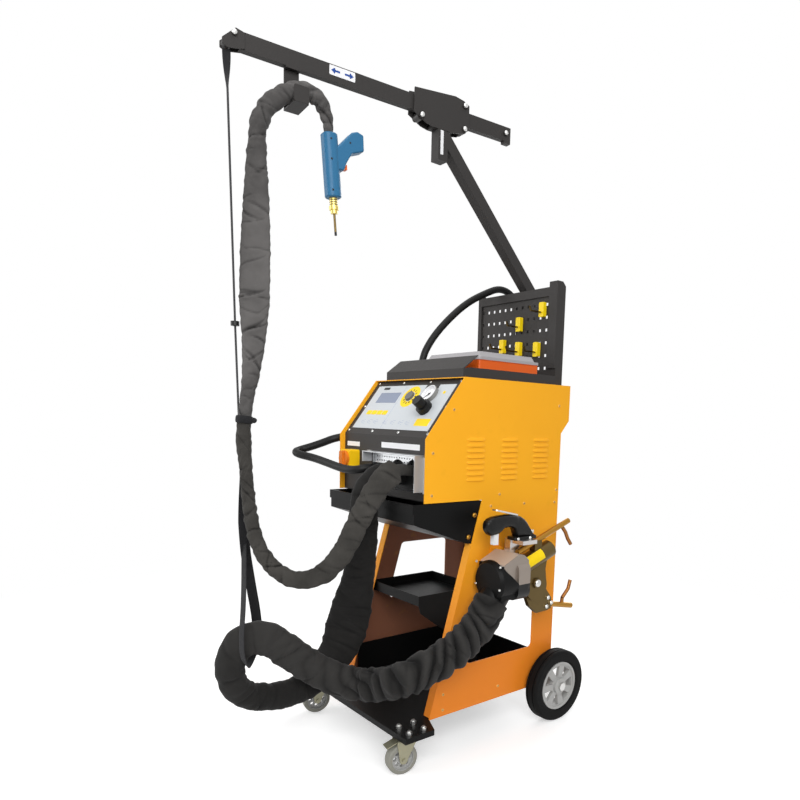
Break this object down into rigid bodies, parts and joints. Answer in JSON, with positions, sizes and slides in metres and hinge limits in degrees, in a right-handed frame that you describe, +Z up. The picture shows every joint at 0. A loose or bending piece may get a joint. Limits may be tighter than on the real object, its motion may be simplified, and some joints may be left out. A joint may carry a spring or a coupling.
{
  "type": "dent pulling welder",
  "caption": "Wheeled dent pulling spot welder: cabinet with slanted controls on an open trolley, mast with swivelling boom, sleeved stud gun and pinch spot gun.",
  "frame": {"origin": "on the floor under the middle of the machine's box, its cords left out", "axes": "+Z up; the operator stands on the -Y side and sees +X to the right"},
  "size_m": [0.5907, 0.956, 1.6525],
  "materials": {
    "orange_paint": "satin powder coat",
    "dark_paint": "satin powder coat",
    "black_paint": "satin powder coat",
    "panel_grey": "satin powder coat",
    "steel": "brushed",
    "zinc_steel": "yellow zinc plated",
    "tyre": "matt",
    "hub_plastic": "matt",
    "castor_rubber": "matt",
    "overlay_print": "satin film",
    "lcd": "gloss",
    "black_plastic": "matt",
    "yellow_plastic": "semi-gloss",
    "red_plastic": "semi-gloss",
    "insulation": "matt",
    "organizer": "semi-gloss",
    "blue_plastic": "satin",
    "orange_trigger": "satin",
    "brass": "machined",
    "rubber": "matt",
    "white_plastic": "semi-gloss",
    "sleeve_cloth": "woven",
    "webbing": "woven",
    "iron_core": "lacquered"
  },
  "bodies": {
    "frame": {"trolley_side_right": "orange_paint", "trolley_side_left": "orange_paint", "base_pan": "black_paint", "tool_shelf": "black_paint", "front_tray": "black_paint", "rear_axle": "steel", "castor_plates": "zinc_steel", "castor_bolts": "steel", "cabinet_side_right": "orange_paint", "cabinet_side_left": "orange_paint", "cabinet_top": "orange_paint", "cabinet_rear": "orange_paint", "cabinet_floor": "orange_paint", "front_panel": "panel_grey", "control_overlay": "overlay_print", "display": "lcd", "gauge": "black_plastic", "switch_body": "yellow_plastic", "output_terminals": "insulation", "terminal_guard": "steel", "panel_screws": "steel", "transformer": "iron_core", "top_tray": "dark_paint", "organizer_box": "organizer", "pegboard": "dark_paint", "peg_hooks": "yellow_plastic", "mast": "dark_paint", "spot_gun_cap": "rubber", "spot_gun_body": "steel", "spot_gun_handle": "black_plastic", "spot_gun_arm": "zinc_steel", "spot_sleeve": "sleeve_cloth", "earth_cable": "rubber", "air_hose": "rubber"},
    "wheel_right": {"rear_hub_right": "hub_plastic", "rear_tyre_right": "tyre"},
    "wheel_left": {"rear_hub_left": "hub_plastic", "rear_tyre_left": "tyre"},
    "castor_right": {"castor_fork_right": "zinc_steel"},
    "castor_left": {"castor_fork_left": "zinc_steel"},
    "castor_roll_right": {"castor_wheel_right": "castor_rubber"},
    "castor_roll_left": {"castor_wheel_left": "castor_rubber"},
    "pedal_right": {"castor_pedal_right": "zinc_steel"},
    "pedal_left": {"castor_pedal_left": "zinc_steel"},
    "needle": {"gauge_needle": "black_plastic"},
    "mode": {"mode_knob": "black_plastic"},
    "regulator": {"regulator_knob": "black_plastic"},
    "switch": {"switch_knob": "red_plastic"},
    "fan": {"fan_rotor": "black_plastic"},
    "head": {"boom_head": "dark_paint", "guide_rollers": "black_plastic"},
    "arm": {"boom_arm": "dark_paint", "sleeve_cradle": "dark_paint", "stud_gun_body": "blue_plastic", "stud_gun_nose": "brass", "gun_sleeve": "sleeve_cloth", "strap": "webbing"},
    "stud_trigger": {"stud_gun_trigger": "orange_trigger"},
    "spot_trigger": {"spot_gun_trigger": "white_plastic"},
    "jaw": {"spot_gun_jaw": "zinc_steel"}
  },
  "joints": [
    {"name": "wheel_right_roll", "type": "hinge", "parent": "frame", "child": "wheel_right", "pos_m": [0.189, 0.36232, 0.1], "axis": [1, 0, 0], "continuous": true},
    {"name": "castor_right_swivel", "type": "hinge", "parent": "frame", "child": "castor_right", "pos_m": [0.184, -0.12568, 0.1], "axis": [0, 0, 1], "continuous": true},
    {"name": "castor_right_roll", "type": "hinge", "parent": "castor_right", "child": "castor_roll_right", "pos_m": [0.17923, -0.15022, 0.0375], "axis": [-0.9816, 0.1908, 0], "continuous": true},
    {"name": "pedal_right_press", "type": "hinge", "parent": "castor_right", "child": "pedal_right", "pos_m": [0.17751, -0.15906, 0.08], "axis": [0.9816, -0.1908, 0], "range_deg": [0, 10]},
    {"name": "wheel_left_roll", "type": "hinge", "parent": "frame", "child": "wheel_left", "pos_m": [-0.241, 0.36232, 0.1], "axis": [1, 0, 0], "continuous": true},
    {"name": "castor_left_swivel", "type": "hinge", "parent": "frame", "child": "castor_left", "pos_m": [-0.236, -0.12568, 0.1], "axis": [0, 0, 1], "continuous": true},
    {"name": "castor_left_roll", "type": "hinge", "parent": "castor_left", "child": "castor_roll_left", "pos_m": [-0.24077, -0.15022, 0.0375], "axis": [-0.9816, 0.1908, 0], "continuous": true},
    {"name": "pedal_left_press", "type": "hinge", "parent": "castor_left", "child": "pedal_left", "pos_m": [-0.24249, -0.15906, 0.08], "axis": [0.9816, -0.1908, 0], "range_deg": [0, 10]},
    {"name": "boom_swivel", "type": "hinge", "parent": "frame", "child": "head", "pos_m": [-0.026, 0.07732, 1.562], "axis": [0, 0, 1], "range_deg": [-90, 90], "deforming": ["gun_sleeve", "strap"]},
    {"name": "boom_slide", "type": "slide", "parent": "head", "child": "arm", "axis": [0.0941, 0.9956, 0], "range_m": [-0.11, 0.15], "deforming": ["gun_sleeve", "strap"]},
    {"name": "stud_trigger_press", "type": "slide", "parent": "arm", "child": "stud_trigger", "axis": [-0.0938, -0.9919, -0.0854], "range_m": [0, 0.005], "stiffness_N_per_m": 400, "springref_m": -0.002},
    {"name": "spot_trigger_press", "type": "slide", "parent": "frame", "child": "spot_trigger", "axis": [0, 0, 1], "range_m": [0, 0.005], "stiffness_N_per_m": 400, "springref_m": -0.002},
    {"name": "jaw_close", "type": "hinge", "parent": "frame", "child": "jaw", "pos_m": [0.229, 0.22032, 0.421], "axis": [1, 0, 0], "range_deg": [0, 34]},
    {"name": "switch_turn", "type": "hinge", "parent": "frame", "child": "switch", "pos_m": [-0.167, -0.09168, 0.722], "axis": [0, 1, 0], "range_deg": [0, 90]},
    {"name": "mode_turn", "type": "hinge", "parent": "frame", "child": "mode", "pos_m": [-0.02, -0.00186, 0.88861], "axis": [0, -0.7987, 0.6017], "continuous": true},
    {"name": "regulator_turn", "type": "hinge", "parent": "frame", "child": "regulator", "pos_m": [0.08, -0.02593, 0.85666], "axis": [0, -0.7987, 0.6017], "range_deg": [-360, 360]},
    {"name": "needle_swing", "type": "hinge", "parent": "frame", "child": "needle", "pos_m": [0.063, 0.00054, 0.8918], "axis": [0, 0.7987, -0.6017], "range_deg": [0, 270], "stiffness_Nm_per_rad": 0.0005},
    {"name": "fan_spin", "type": "hinge", "parent": "frame", "child": "fan", "pos_m": [-0.026, 0.37332, 0.72], "axis": [0, -1, 0], "continuous": true}
  ]
}
